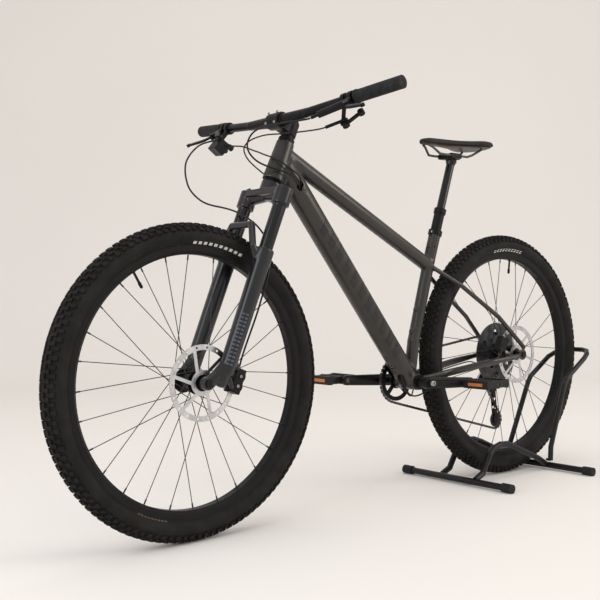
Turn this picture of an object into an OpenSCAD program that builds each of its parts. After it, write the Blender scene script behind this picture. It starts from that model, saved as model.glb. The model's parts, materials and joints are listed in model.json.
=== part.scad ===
// Hardtail mountain bicycle held upright by a tubular rear-wheel display stand.
// +X points forward, +Y to the rider's left, +Z up, and the floor is Z = 0.
// Lengths below are measured from the point on the floor under the rear axle; placed() then
// shifts everything so that the origin is the middle of the whole object's footprint.

/* [Wheels] */
// Distance between the two axles
wheelbase = 1165; // [1155:1:1175]
// Outer radius of both tyres, which is also the height of the axles
tyre_r = 372; // [368:1:373]
// Width of each tyre casing
tyre_w = 60; // [56:1:62]
// Radius of the rim's spoke bed
rim_bed_r = 297; // [294:1:299]
// Spokes in each wheel
spoke_count = 28; // [24:4:32]
// Outer radius of both brake rotors
rotor_r = 89; // [86:1:90]

/* [Front end] */
// Angle of the steering axis above the horizontal
head_angle = 67; // [66.5:0.1:67.5]
// Perpendicular distance of the front axle ahead of the steering axis
fork_offset = 44; // [42:1:46]
// Outer radius of the fork's sliding inner legs
stanchion_r = 17; // [16:0.5:17.5]
// Distance of each fork leg from the middle plane
leg_y = 71; // [70:1:72]
// Distance from the steerer to the handlebar clamp
stem_reach = 45; // [42:1:50]
// Half the width of the handlebar over its grips
bar_half = 395; // [380:1:400]

/* [Drivetrain] */
// Height of the bottom bracket's centre above the floor
bb_height = 317; // [312:1:322]
// Distance of the bottom bracket ahead of the rear axle
bb_ahead = 428; // [424:1:432]
// Length of each crank from spindle to pedal axle
crank_len = 170; // [165:1:172]
// Angle by which the forward crank points above the horizontal
crank_tilt = 3.4; // [0:0.1:6]
// Teeth on the chainring
ring_teeth = 32; // [30:1:33]

/* [Seat] */
// Outer radius of the seatpost's sliding inner tube
post_r = 12.5; // [12:0.1:12.8]
// Length of the saddle from nose to tail
saddle_len = 262; // [250:1:270]
// Width across the back of the saddle
saddle_w = 143; // [135:1:150]

/* [Stand] */
// Radius of the stand's floor bars and side arches
stand_tube_r = 9.5; // [8.5:0.5:9.5]
// Radius of the stand's tall hoop
hoop_tube_r = 8; // [7:0.5:9]
// Distance between the two side arches
arch_gap = 127; // [120:1:130]

/* [Hidden] */

$fn = 48;
fit_gap = 0.05;     // radial clearance of a shaft that turns or slides in its bore
face_gap = 0.3;     // clearance between faces that pass each other
middle_x = 568;     // footprint centre ahead of the rear axle

// ---- shared placing and shapes -------------------------------------------------------

module placed() { translate([-middle_x, 0, 0]) children(); }

// Puts a child's Z axis along the line from p towards q
module aim(p, q) {
    d = q - p;
    translate(p)
        rotate([0, acos(d[2] / norm(d)), atan2(d[1], d[0])])
            children();
}

// A round bar from p to q, with its radius going from r1 to r2
module bar(p, q, r1, r2 = -1) {
    aim(p, q) cylinder(h = norm(q - p), r1 = r1, r2 = r2 < 0 ? r1 : r2);
}

// A bent tube: straight bars with a slightly fuller ball at every bend
module bent(points, r) {
    for (i = [0 : len(points) - 2]) bar(points[i], points[i + 1], r);
    if (len(points) > 2)
        for (i = [1 : len(points) - 2])
            aim(points[i], points[i] + points[i + 1] - points[i - 1]) sphere(r = r * 1.03);
}

// A path on the left side continued back along its mirror image on the right
function round_trip(p) = concat(p, [for (i = [len(p) - 1 : -1 : 0]) [p[i][0], -p[i][1], p[i][2]]]);

// A cylinder along Y, centred on y
module across(x, y, z, r, w, r2 = -1) {
    translate([x, y, z])
        rotate([-90, 0, 0])
            cylinder(h = w, r1 = r, r2 = r2 < 0 ? r : r2, center = true);
}

// A ring along Y with a hole of radius r_in
module ring_y(x, y, z, r_out, r_in, w) {
    difference() {
        across(x, y, z, r_out, w);
        across(x, y, z, r_in, w + 2);
    }
}

module both_sides() {
    children();
    mirror([0, 1, 0]) children();
}

// Steering axis: its local Z runs up the axis and its local X points forward
foot_x = wheelbase - fork_offset * sin(head_angle);
foot_z = tyre_r - fork_offset * cos(head_angle);
module steered() {
    translate([foot_x, 0, foot_z]) rotate([0, head_angle - 90, 0]) children();
}
function on_steer(t, ahead, y = 0) =
    [foot_x - t * cos(head_angle) + ahead * sin(head_angle), y,
     foot_z + t * sin(head_angle) + ahead * cos(head_angle)];

// Seatpost axis: local Z runs up the post from its foot at the seat tube's bend
post_angle = 70.7;
seat_bend = [338, 0, 660];
module on_post() { translate(seat_bend) rotate([0, post_angle - 90, 0]) children(); }

// Catmull-Rom curve through the hand-placed points of a cable, then a swept tube round it
function spline(p, i, t) =
    let (a = p[max(i - 1, 0)], b = p[i], c = p[i + 1], d = p[min(i + 2, len(p) - 1)])
    0.5 * (2 * b + (c - a) * t + (2 * a - 5 * b + 4 * c - d) * t * t
           + (3 * b - a - 3 * c + d) * t * t * t);
function route(p, steps) =
    [for (i = [0 : len(p) - 2]) for (s = [0 : steps - 1]) spline(p, i, s / steps),
     p[len(p) - 1]];
function unit(v) = v / norm(v);
function tangent(c, i) = unit(c[min(i + 1, len(c) - 1)] - c[max(i - 1, 0)]);
function side_of(t, last) = unit(last - (last * t) * t);
function sides(c, i, last) =
    i == len(c) ? [] : let (s = side_of(tangent(c, i), last)) concat([s], sides(c, i + 1, s));
module cable(points, r, steps = 3, n = 8) {
    c = route(points, steps);
    start = abs(tangent(c, 0)[2]) < 0.9 ? [0, 0, 1] : [1, 0, 0];
    s = sides(c, 0, side_of(tangent(c, 0), start));
    rings = [for (i = [0 : len(c) - 1]) let (b = cross(tangent(c, i), s[i]))
             for (k = [0 : n - 1]) c[i] + r * (cos(360 * k / n) * s[i] + sin(360 * k / n) * b)];
    last = (len(c) - 1) * n;
    polyhedron(rings, concat(
        [[for (k = [0 : n - 1]) k]],
        [for (i = [0 : len(c) - 2]) for (k = [0 : n - 1])
            [i * n + k, (i + 1) * n + k, (i + 1) * n + (k + 1) % n]],
        [for (i = [0 : len(c) - 2]) for (k = [0 : n - 1])
            [i * n + k, (i + 1) * n + (k + 1) % n, i * n + (k + 1) % n]],
        [[for (k = [n - 1 : -1 : 0]) last + k]]));
}

// ---- frame ---------------------------------------------------------------------------

bb = [bb_ahead, 0, bb_height];
head_low = 543;        // lower end of the head tube, up the steering axis
head_high = 653;       // upper end of the head tube
dropout_y = 77;        // middle of each rear dropout plate
collar_up = 93;        // top of the seat tube above its bend
post_foot = 20.3;      // depth of the dropper post's foot below the bend
stay_r = 8;
top_tube_front = [866, 0, 920];
top_tube_back = [345, 0, 648];
down_tube_top = [882, 0, 897];
chainstay = [[412, 27, bb_height + 2], [335, 47, 331], [20, 76, 368]];
seatstay = [[345, 20, 642], [250, 46, 588], [100, 63, 492], [-10, 76, 392]];
hanger = [-12, -80, 345];
seat_knee = [408, 0, 430];    // the seat tube bows forward here to clear the tyre
seat_tube_up = unit(seat_bend - seat_knee);
seat_tube_out = [seat_tube_up[2], 0, -seat_tube_up[0]];
bottle_bosses = [26, 90];     // distances of the two bosses up the seat tube from its knee
boss_top = 21.5;
boss_hole_r = 2.5;
module on_boss(up) {
    foot = seat_knee + up * seat_tube_up;
    aim(foot, foot + seat_tube_out) children();
}

module frame_outside() {
    steered() translate([0, 0, head_low]) cylinder(h = head_high - head_low, r1 = 29, r2 = 23);
    bar(top_tube_back, top_tube_front, 20.5, 22);
    bar(bb, down_tube_top, 30.5, 31.5);
    bent([bb, seat_knee, seat_bend], 17.5);
    aim(seat_bend, seat_bend + seat_tube_up) sphere(r = 18);
    on_post() cylinder(h = collar_up, r = 17.5);
    across(bb[0], 0, bb[2], 23, 73);
    for (up = bottle_bosses) on_boss(up) cylinder(h = boss_top, r = 7);
    both_sides() {
        bent(chainstay, stay_r);
        bent(seatstay, stay_r - 1);
        across(0, dropout_y, tyre_r, 17, 6);
    }
    across(hanger[0], hanger[1] + 3, hanger[2], 9, 6);
    translate([-17, -dropout_y - 3, hanger[2]]) cube([14, 6, tyre_r - hanger[2]]);
}

module frame() {
    color("#55524f") placed() difference() {
        frame_outside();
        // head tube bore with its two bearing seats
        steered() {
            translate([0, 0, head_low - 1]) cylinder(h = head_high - head_low + 2, r1 = 22, r2 = 17);
            translate([0, 0, head_low - 1]) cylinder(h = 10, r = 26);
            translate([0, 0, head_high - 9]) cylinder(h = 10, r = 20.9);
        }
        bar(bb + [30, 0, 37], down_tube_top - [34, 0, 43], 28);
        bar(top_tube_back + [24, 0, 12], top_tube_front - [32, 0, 17], 18.5);
        bent([bb + 0.28 * (seat_knee - bb), seat_knee, seat_bend + [2, 0, -5]], 14.5);
        on_post() translate([0, 0, -post_foot]) cylinder(h = 200, r = 15.5);
        bar([446, -2, 372], [416, -2, 362], 5);
        across(bb[0], 0, bb[2], 20.5, 75);
        for (up = bottle_bosses) on_boss(up) cylinder(h = boss_top + 5, r = boss_hole_r);
        both_sides() across(0, dropout_y, tyre_r, 6.05, 30);
        across(hanger[0], hanger[1], hanger[2], 5, 20);
        // cable ports beside the head tube and under the down tube
        both_sides() bar([868, 47, 859], [832, 11, 823], 5);
        bar([862, 46, 868], [826, 10, 832], 5);
        bar([474, 8, 352], [455, 8, 290], 10);
    }
}

module headset_cups() {
    color("black") placed() steered() {
        translate([0, 0, head_low - 0.5]) difference() {
            cylinder(h = 8.5, r = 26 - fit_gap);
            translate([0, 0, -1]) cylinder(h = 12, r = 20.05);
        }
        translate([0, 0, head_high - 8]) difference() {
            cylinder(h = 8.4, r = 20.9 - fit_gap);
            translate([0, 0, -1]) cylinder(h = 12, r = 14.3 + fit_gap);
        }
    }
}

module bottom_bracket_cups() {
    color("#222222") placed() both_sides() {
        difference() {
            union() {
                across(bb[0], 30, bb[2], 20.5 - fit_gap, 14);
                across(bb[0], 39.6, bb[2], 21.5, 5.6);
            }
            across(bb[0], 30, bb[2], 14.5 + fit_gap, 40);
        }
    }
}

module dropper_outer_tube() {
    color("#1a1a1a") placed() on_post() difference() {
        union() {
            translate([0, 0, -20]) cylinder(h = 168, r = 15.45);
            translate([0, 0, 148]) cylinder(h = 14, r = 18);
        }
        translate([0, 0, -16]) cylinder(h = 166, r = post_r + 1.2);
        translate([0, 0, 140]) cylinder(h = 30, r = post_r + fit_gap);
    }
}

module rear_axle() {
    color("#303030") placed() {
        across(0, 1.5, tyre_r, 6, 2 * dropout_y + 9);
        across(0, dropout_y + 4.55, tyre_r, 9, 3);
    }
}

rear_rotor_y = 54;
module rear_brake_caliper() {
    color("#202020") placed() difference() {
        union() {
            difference() {
                translate([0, rear_rotor_y - 1, tyre_r]) rotate([0, -25, 0])
                    translate([82, 0, 0]) cube([32, 22, 44], center = true);
                across(0, rear_rotor_y, tyre_r, rotor_r + 3, 3.4);
            }
            bar([72, 60, 390], [70, 67, 366], 4.5);
            bar([92, 60, 396], [94, 66, 364], 4.5);
        }
        bent(chainstay, stay_r + 0.1);
    }
}

// ---- wheels --------------------------------------------------------------------------

tyre_section_r = tyre_w / 2;
tyre_ring_r = tyre_r - tyre_section_r;
bead_r = 318.4;
module tyre(x) {
    translate([x, 0, tyre_r]) rotate([90, 0, 0]) rotate_extrude($fn = 96)
        difference() {
            translate([tyre_ring_r, 0]) circle(r = tyre_section_r);
            translate([tyre_ring_r, 0]) circle(r = tyre_section_r - 4);
            translate([0, -50]) square([bead_r, 100]);
        }
}
module rim(x) {
    translate([x, 0, tyre_r]) rotate([90, 0, 0]) rotate_extrude($fn = 96)
        difference() {
            polygon([[rim_bed_r, -10], [rim_bed_r + 7, -16], [318, -17.5], [318, 17.5],
                     [rim_bed_r + 7, 16], [rim_bed_r, 10]]);
            translate([308, -15]) square([20, 30]);
            translate([rim_bed_r + 2.5, -9]) square([7, 18]);
        }
}

// Spokes leave the flanges along tangents, crossing their neighbours on the way to the rim
lace_angle = 74;
flange_r = 28;
nipple_len = 12;
module spokes(x, near_y, far_y) {
    for (i = [0 : spoke_count - 1]) {
        at_rim = 360 * i / spoke_count;
        y = i % 2 == 0 ? near_y : far_y;
        lean = floor(i / 2) % 2 == 0 ? 1 : -1;
        at_hub = at_rim + lean * lace_angle;
        hub_end = [x + (flange_r + 0.6) * cos(at_hub), y, tyre_r + (flange_r + 0.6) * sin(at_hub)];
        rim_y = y > 0 ? 3 : -3;
        rim_end = [x + (rim_bed_r - 0.8) * cos(at_rim), rim_y, tyre_r + (rim_bed_r - 0.8) * sin(at_rim)];
        along = unit(rim_end - hub_end);
        weave = [0, 1.1 * lean, 0];
        bar(hub_end + weave, rim_end + weave - along * (nipple_len - 2), 1);
        bar(rim_end + weave - along * nipple_len, rim_end + weave, 1.9);
    }
}

module hub(x, left, right, flange_left, flange_right, bore, rotor_y) {
    difference() {
        union() {
            across(x, (left + right) / 2, tyre_r, 11, left - right);
            across(x, (flange_left + flange_right) / 2, tyre_r, 17, flange_left - flange_right + 6);
            across(x, flange_left, tyre_r, flange_r, 3.5);
            across(x, flange_right, tyre_r, flange_r, 3.5);
            across(x, (flange_left + rotor_y) / 2, tyre_r, 19, rotor_y - flange_left - 1.9);
        }
        across(x, 0, tyre_r, bore + fit_gap, 200);
    }
}

arm_count = 6;
module rotor(x, y) {
    difference() {
        union() {
            ring_y(x, y, tyre_r, rotor_r, rotor_r - 13, 1.8);
            ring_y(x, y, tyre_r, 30, 19.3, 1.8);
            for (i = [0 : arm_count - 1])
                translate([x, y, tyre_r]) rotate([0, 360 / arm_count * i, 0])
                    translate([26, 0, 0]) rotate([0, -22, 0]) translate([0, -0.9, -4]) cube([55, 1.8, 8]);
        }
        for (i = [0 : 17])
            translate([x, y, tyre_r]) rotate([0, 20 * i, 0]) across(rotor_r - 6.5, 0, 0, 3, 6);
    }
}

module rear_tyre() { color("#24211f") placed() tyre(0); }
module rear_rim() { color("#101010") placed() rim(0); }
module rear_spokes() { color("#8a8a8a") placed() spokes(0, 30, -19); }
module rear_hub() { color("#181818") placed() hub(0, 73.9, -22, 30, -19, 6, rear_rotor_y); }
module rear_rotor() { color("silver") placed() rotor(0, rear_rotor_y); }
module front_tyre() { color("#24211f") placed() tyre(wheelbase); }
module front_rim() { color("#101010") placed() rim(wheelbase); }
module front_spokes() { color("#8a8a8a") placed() spokes(wheelbase, 26, -32); }

front_rotor_y = 47;
front_hub_half = 55;
module front_hub() {
    color("#181818") placed() hub(wheelbase, front_hub_half - 0.1, 0.1 - front_hub_half, 26, -32, 7.5,
                                  front_rotor_y);
}
module front_rotor() { color("silver") placed() rotor(wheelbase, front_rotor_y); }

// ---- cassette and chain --------------------------------------------------------------

pitch = 12.7;
sprocket_teeth = [10, 12, 14, 16, 18, 21, 24, 28, 32, 36, 42, 50];
sprocket_step = 3.65;
outer_sprocket_y = -66;
engaged = 8;
tooth_depth = 5;
function pitch_r(teeth) = pitch / 2 / sin(180 / teeth);
ring_y_pos = -50;
cog_y = outer_sprocket_y + engaged * sprocket_step;
module cassette() {
    color("#3a3a3c") placed() difference() {
        union() {
            for (i = [0 : len(sprocket_teeth) - 1])
                across(0, outer_sprocket_y + i * sprocket_step, tyre_r,
                       pitch_r(sprocket_teeth[i]) - tooth_depth, 1.8);
            across(0, -46.3, tyre_r, 16, 43.6);
            across(0, -62, tyre_r, 10, 23.6);
        }
        across(0, 0, tyre_r, 6 + fit_gap, 200);
        for (i = [0 : 5])
            translate([0, -34, tyre_r]) rotate([0, 60 * i, 0]) across(44, 0, 0, 9, 26);
        for (i = [0 : 5])
            translate([0, -28, tyre_r]) rotate([0, 60 * i + 30, 0]) across(66, 0, 0, 10, 10);
    }
}

guide_at = [5, cog_y, 262];
tension_at = [-6, cog_y, 160];
guide_r = pitch_r(12);
tension_r = pitch_r(14);

// The chain is a loop of straight runs and arcs in side view, cut into links of one pitch
function deg_of(v) = atan2(v[1], v[0]);
// Point where the line from circle a to circle b leaves a; both turn the same way (s = 1) or
// opposite ways (s = -1), and side picks the upper (1) or lower (-1) line
function leave(a, ra, b, rb, side, s) =
    let (d = b - a, g = acos((ra - s * rb) / norm(d)), h = deg_of(d) + side * g)
    a + ra * [cos(h), sin(h)];
function flat(p) = [p[0], p[2]];
ring_c = [bb_ahead, bb_height];
cog_c = [0, tyre_r];
ring_p = pitch_r(ring_teeth);
cog_p = pitch_r(sprocket_teeth[engaged]);
function arc(c, r, a0, a1, n) =
    [for (i = [0 : n]) let (a = a0 + (a1 - a0) * i / n) c + r * [cos(a), sin(a)]];
ring_top = leave(ring_c, ring_p, cog_c, cog_p, -1, 1);
cog_top = leave(cog_c, cog_p, ring_c, ring_p, 1, 1);
cog_low = leave(cog_c, cog_p, flat(guide_at), guide_r, -1, -1);
guide_in = leave(flat(guide_at), guide_r, cog_c, cog_p, -1, -1);
guide_out = leave(flat(guide_at), guide_r, flat(tension_at), tension_r, 1, -1);
tension_in = leave(flat(tension_at), tension_r, flat(guide_at), guide_r, 1, -1);
tension_out = leave(flat(tension_at), tension_r, ring_c, ring_p, -1, 1);
ring_low = leave(ring_c, ring_p, flat(tension_at), tension_r, 1, 1);
function down_to(a, b) = b > a ? b - 360 : b;
function up_to(a, b) = b < a ? b + 360 : b;
function round_down(c, r, p, q, n) = let (a = deg_of(p - c)) arc(c, r, a, down_to(a, deg_of(q - c)), n);
function round_up(c, r, p, q, n) = let (a = deg_of(p - c)) arc(c, r, a, up_to(a, deg_of(q - c)), n);
chain_loop = concat(
    round_up(cog_c, cog_p, cog_top, cog_low, 24),
    round_down(flat(guide_at), guide_r, guide_in, guide_out, 16),
    round_up(flat(tension_at), tension_r, tension_in, tension_out, 16),
    round_up(ring_c, ring_p, ring_low, ring_top, 24));
function loop_len(p, i = 0) =
    i >= len(p) ? 0 : norm(p[(i + 1) % len(p)] - p[i]) + loop_len(p, i + 1);
function at_len(p, s, i = 0) =
    let (a = p[i % len(p)], b = p[(i + 1) % len(p)], d = norm(b - a))
    s <= d ? a + (b - a) * s / d : at_len(p, s - d, i + 1);
chain_len = loop_len(chain_loop);
link_count = 2 * floor(chain_len / pitch / 2);
link_pitch = chain_len / link_count;
// The chain leans inboard between the chainring and the engaged sprocket
function chain_y(x) = x < 60 ? cog_y : cog_y + (ring_y_pos - cog_y) * min(1, (x - 60) / (bb_ahead - 90));

module chain() {
    color("#2c2c2e") placed()
        for (i = [0 : link_count - 1]) {
            p = at_len(chain_loop, i * link_pitch);
            q = at_len(chain_loop, (i + 1) * link_pitch * 0.99999);
            m = (p + q) / 2;
            translate([m[0], chain_y(m[0]), m[1]]) rotate([90, -deg_of(q - p), 0])
                linear_extrude(i % 2 == 0 ? 5.2 : 3.9, center = true) union() {
                    translate([-2.2, 0]) circle(r = 3.6, $fn = 16);
                    translate([2.2, 0]) circle(r = 3.6, $fn = 16);
                    square([4.4, 7.2], center = true);
                }
        }
}

module pulley(at, r) {
    placed() difference() {
        across(at[0], at[1], at[2], r - tooth_depth, 2.6);
        across(at[0], at[1], at[2], 4 + fit_gap, 6);
    }
}
module upper_pulley() { color("#1c1c1c") pulley(guide_at, guide_r); }
module lower_pulley() { color("#1c1c1c") pulley(tension_at, tension_r); }

// ---- rear derailleur -----------------------------------------------------------------

shift_axis = unit([0.29, 0.7, 0.65]);     // both link pivots are parallel to this
link_along = unit([30, 8, -22]);
link_len = 38;
link_top = [-26, -90, 318];               // pivot between the knuckle and the link
link_foot = link_top + link_len * link_along;
cage_pivot = [-8, cog_y, 277];
link_pin_r = 2;

// Local Z is the pivots' axis and local X points along the link, from its upper pivot
module on_link(at) {
    n = cross(shift_axis, link_along);
    multmatrix([[link_along[0], n[0], shift_axis[0], at[0]],
                [link_along[1], n[1], shift_axis[1], at[1]],
                [link_along[2], n[2], shift_axis[2], at[2]], [0, 0, 0, 1]])
        children();
}
// Two ears with a pin through them, joined by a web on the side away from the link
module fork_ears(web_side) {
    for (z = [-8.3, 5.3])
        translate([0, 0, z]) linear_extrude(3) union() {
            circle(r = 6.5);
            translate([web_side > 0 ? 0 : -12, -6]) square([12, 12]);
        }
    translate([web_side > 0 ? 9 : -12, -6, -8.3]) cube([3, 12, 16.6]);
    translate([0, 0, -8.3]) cylinder(h = 16.6, r = link_pin_r);
}
module derailleur_knuckle() {
    color("#181818") placed() {
        across(hanger[0], hanger[1], hanger[2], 5 - fit_gap, 8);
        difference() {
            union() {
                across(hanger[0], hanger[1] - 3.5, hanger[2], 11, 6.4);
                bar([hanger[0], -84, hanger[2]], link_top - 11 * link_along, 6);
                bar([-12, -91, 341], [3.6, -92, 336], 4);
                bar([-12, -84, 343], [-10, -91, 340], 5);
            }
            // flat face against the hanger, and room for the link's eye
            translate([-60, hanger[1] - 0.25, 300]) cube([120, 20, 90]);
            on_link(link_top) translate([0, 0, -5.3]) cylinder(h = 10.6, r = 7);
        }
        on_link(link_top) fork_ears(-1);
    }
}
module derailleur_link() {
    color("#242424") placed() on_link(link_top) difference() {
        translate([0, 0, -5]) linear_extrude(10) union() {
            circle(r = 6.3);
            translate([link_len, 0]) circle(r = 6.3);
            translate([0, -5]) square([link_len, 10]);
        }
        for (x = [0, link_len]) translate([x, 0, -6]) cylinder(h = 12, r = link_pin_r + fit_gap);
    }
}
module derailleur_mount() {
    color("#181818") placed() difference() {
        union() {
            on_link(link_foot) fork_ears(1);
            bar(link_foot + 13 * link_along, [-2, -60, 279], 5);
            across(cage_pivot[0], -53.5, cage_pivot[2], 11, 21);
        }
        across(cage_pivot[0], -46, cage_pivot[2], 6 + fit_gap, 8);
    }
}
module cage_plate(y) {
    difference() {
        union() {
            across(guide_at[0], y, guide_at[2], 11, 1.6);
            across(tension_at[0], y, tension_at[2], 13, 1.6);
            across(cage_pivot[0], y, cage_pivot[2], 10, 1.6);
            aim([guide_at[0], y, guide_at[2]], [tension_at[0], y, tension_at[2]])
                translate([-7, -0.8, 0]) cube([14, 1.6, 102]);
            aim([cage_pivot[0], y, cage_pivot[2]], [guide_at[0], y, guide_at[2]])
                translate([-8, -0.8, 0]) cube([16, 1.6, 20]);
        }
        for (s = [0.35, 0.62])
            across(guide_at[0] + (tension_at[0] - guide_at[0]) * s, y,
                   guide_at[2] + (tension_at[2] - guide_at[2]) * s, 4.5, 6);
    }
}
module derailleur_cage() {
    color("#262626") placed() {
        cage_plate(cog_y - 4.6);
        cage_plate(cog_y + 4.6);
        across(guide_at[0], cog_y, guide_at[2], 4, 9.6);
        across(tension_at[0], cog_y, tension_at[2], 4, 9.6);
        across(cage_pivot[0], cog_y - 8.7, cage_pivot[2], 6, 8);
    }
}

// ---- cranks and pedals ---------------------------------------------------------------

pedal_y = 142;
arm_inner_y = 62;
function crank_end(side) =
    [bb_ahead - side * crank_len * cos(crank_tilt), 0, bb_height - side * crank_len * sin(crank_tilt)];

// One crank arm on side 1 (left, pointing back) or -1 (right, pointing forward)
module crank_arm(side) {
    e = crank_end(side);
    difference() {
        union() {
            across(bb[0], side * (arm_inner_y + 7), bb[2], 17, 18);
            bar([bb[0], side * (arm_inner_y + 8), bb[2]], [e[0], side * 81, e[2]], 12, 9);
            across(e[0], side * 80, e[2], 14, 14);
        }
        across(e[0], side * 80, e[2], 7, 20);
    }
}
module left_crank_arm() {
    color("#161616") placed() difference() {
        crank_arm(1);
        across(bb[0], 60, bb[2], 14.5 + 0.02, 20);
    }
}
module right_crank_arm() {
    color("#161616") placed() {
        crank_arm(-1);
        difference() {
            across(bb[0], 4, bb[2], 14.5, 132);
            across(bb[0], 12, bb[2], 12, 132);
        }
    }
}
module chainring() {
    color("#1e1e20") placed() difference() {
        union() {
            ring_y(bb[0], ring_y_pos, bb[2], ring_p - tooth_depth, ring_p - 17, 3.2);
            ring_y(bb[0], -51.6, bb[2], 24, 14.52, 6.4);
            for (i = [0 : 3])
                translate([bb[0], ring_y_pos, bb[2]]) rotate([0, 90 * i + 45, 0])
                    translate([20, -1.6, -6]) cube([31, 3.2, 12]);
        }
        across(bb[0], -51, bb[2], 14.52, 20);
    }
}
module pedal_spindles() {
    color("#8c8c8c") placed() for (side = [1, -1]) {
        e = crank_end(side);
        across(e[0], side * 80.4, e[2], 6.98, 15);
        across(e[0], side * 135, e[2], 5, 96);
    }
}
module pedal(side) {
    e = crank_end(side);
    placed() difference() {
        union() {
            across(e[0], side * 140, e[2], 12, 90);
            for (s = [-1, 1]) {
                translate([e[0] + s * 42 - 6, side * 140 - 44, e[2] - 12]) cube([12, 88, 24]);
                translate([e[0] - 46, side * 140 + s * 39 - 5, e[2] - 10]) cube([92, 10, 20]);
            }
        }
        across(e[0], side * 130, e[2], 5 + fit_gap, 120);
    }
}
module left_pedal() { color("#171717") pedal(1); }
module right_pedal() { color("#171717") pedal(-1); }

// ---- fork, stem and bar --------------------------------------------------------------

leg_ahead = 8;       // fork legs ahead of the steering axis
stanchion_low = 195;
crown_top = 512;
stem_t = 690;        // middle of the stem, up the steering axis
module fork_crown_assembly() {
    color("#151515") placed() steered() {
        difference() {
            union() {
                translate([0, 0, 496]) cylinder(h = 40, r = 27);
                translate([-12, -leg_y, 494]) cube([40, 2 * leg_y, 18]);
                both_sides() translate([leg_ahead, leg_y, 468]) cylinder(h = crown_top - 468, r = 22.5);
            }
            both_sides() translate([leg_ahead, leg_y, 460]) cylinder(h = 48, r = stanchion_r - 1);
        }
        translate([0, 0, 535]) cylinder(h = 16, r = 20);
        translate([0, 0, 551]) cylinder(h = 45, r1 = 19, r2 = 14.3);
        translate([0, 0, 596]) cylinder(h = 112, r = 14.3);
        both_sides() translate([leg_ahead, leg_y, stanchion_low]) difference() {
            cylinder(h = 505 - stanchion_low, r = stanchion_r);
            translate([0, 0, -1]) cylinder(h = 480 - stanchion_low, r = stanchion_r - 2.5);
        }
    }
}
module headset_spacers() {
    color("#141414") placed() steered() {
        for (t = [head_high + 0.8, head_high + 9])
            translate([0, 0, t]) difference() {
                cylinder(h = 7.9, r = t == head_high + 0.8 ? 21 : 17.5);
                translate([0, 0, -1]) cylinder(h = 12, r = 14.33);
            }
        translate([0, 0, stem_t + 20.2]) cylinder(h = 4, r = 17);
    }
}
module stem() {
    color("#141414") placed() steered() difference() {
        union() {
            translate([0, 0, stem_t - 20]) cylinder(h = 40, r = 20);
            translate([0, -17, stem_t - 16]) cube([stem_reach, 34, 32]);
            across(stem_reach, 0, stem_t, 21, 48);
        }
        translate([0, 0, stem_t - 30]) cylinder(h = 60, r = 14.33);
        across(stem_reach, 0, stem_t, 15.93, 60);
    }
}

// Handlebar centreline on the left: clamp, bend and end, measured from the clamp's centre
bar_c = on_steer(stem_t, stem_reach);
bar_bend = bar_c + [-3, 110, 4];
bar_end = bar_c + [-42, bar_half, 33];
function bar_at(y) = bar_bend + (bar_end - bar_bend) * (y - 110) / (bar_half - 110);
module handlebar_solid(thinner) {
    across(bar_c[0], 0, bar_c[2], 15.9 - thinner, 66);
    both_sides() {
        bar(bar_c + [0, 28, 0], bar_bend, 15 - thinner, 11.6 - thinner);
        aim(bar_bend, bar_end) sphere(r = 12 - thinner);
        bar(bar_bend, bar_at(bar_half - 3 + thinner), 11.1 - thinner);
    }
}
module handlebar() {
    color("#1b1b1b") placed() difference() {
        handlebar_solid(0);
        handlebar_solid(2.4);
    }
}
grip_from = 265;
module grips() {
    color("#1f1e1d") placed() both_sides() {
        difference() {
            union() {
                bar(bar_at(grip_from), bar_at(bar_half), 15.5);
                bar(bar_at(grip_from), bar_at(grip_from + 4), 17);
            }
            bar(bar_at(grip_from - 5), bar_at(bar_half - 2.9), 11.13);
        }
    }
}

// Frame of a left-hand control clamped at y: Y outboard along the bar, X ahead and down
bar_sweep = atan2(bar_bend[0] - bar_end[0], bar_end[1] - bar_bend[1]);
bar_rise = atan2(bar_end[2] - bar_bend[2], bar_end[1] - bar_bend[1]);
lever_drop = 33;
module on_bar(y, drop = lever_drop) {
    translate(bar_at(y)) rotate([0, 0, bar_sweep]) rotate([bar_rise, 0, 0]) rotate([0, drop, 0])
        children();
}
module clamp_ring(from, to, r_out) {
    difference() {
        translate([0, from, 0]) rotate([-90, 0, 0]) cylinder(h = to - from, r = r_out);
        translate([0, from - 1, 0]) rotate([-90, 0, 0]) cylinder(h = to - from + 2, r = 11.13);
    }
}

brake_y = 252;             // where each brake lever clamps the bar
blade_pivot = [43, 10];    // blade pivot in the lever's own frame
module brake_lever_body() {
    placed() on_bar(brake_y) {
        clamp_ring(-6, 6, 17);
        difference() {
            translate([15.5, -8, -8]) cube([16, 15, 16]);
            translate([0, -20, 0]) rotate([-90, 0, 0]) cylinder(h = 40, r = 16.5);
        }
        bar([26, 0, 0], [64, -62, 3], 9.5, 8.5);
        bar([63, -60, 3], [75, -76, 4], 4);
        difference() {
            union() {
                translate([20, -4, -8]) cube([22, 15, 16]);
                translate([blade_pivot[0], blade_pivot[1], -8]) cylinder(h = 16, r = 7);
            }
            translate([28, 2.5, -3.4]) cube([40, 30, 6.8]);
        }
        translate([blade_pivot[0], blade_pivot[1], -8]) cylinder(h = 16, r = 2.4);
    }
}
module brake_blade() {
    placed() on_bar(brake_y) difference() {
        union() {
            translate([blade_pivot[0], blade_pivot[1], -3]) cylinder(h = 6, r = 6.5);
            translate([0, 0, -3]) linear_extrude(6)
                polygon([[38, 14], [49, 11], [66, 21], [76, 40], [86, 72], [91, 84], [84, 87],
                         [76, 74], [66, 46], [57, 29], [44, 17]]);
            translate([86, 82, -4]) cylinder(h = 8, r = 5.5);
        }
        translate([blade_pivot[0], blade_pivot[1], -5]) cylinder(h = 10, r = 2.4 + fit_gap);
    }
}
module left_brake_lever_body() { color("#161616") brake_lever_body(); }
module right_brake_lever_body() { color("#161616") mirror([0, 1, 0]) brake_lever_body(); }
module left_brake_blade() { color("#1c1c1c") brake_blade(); }
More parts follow.
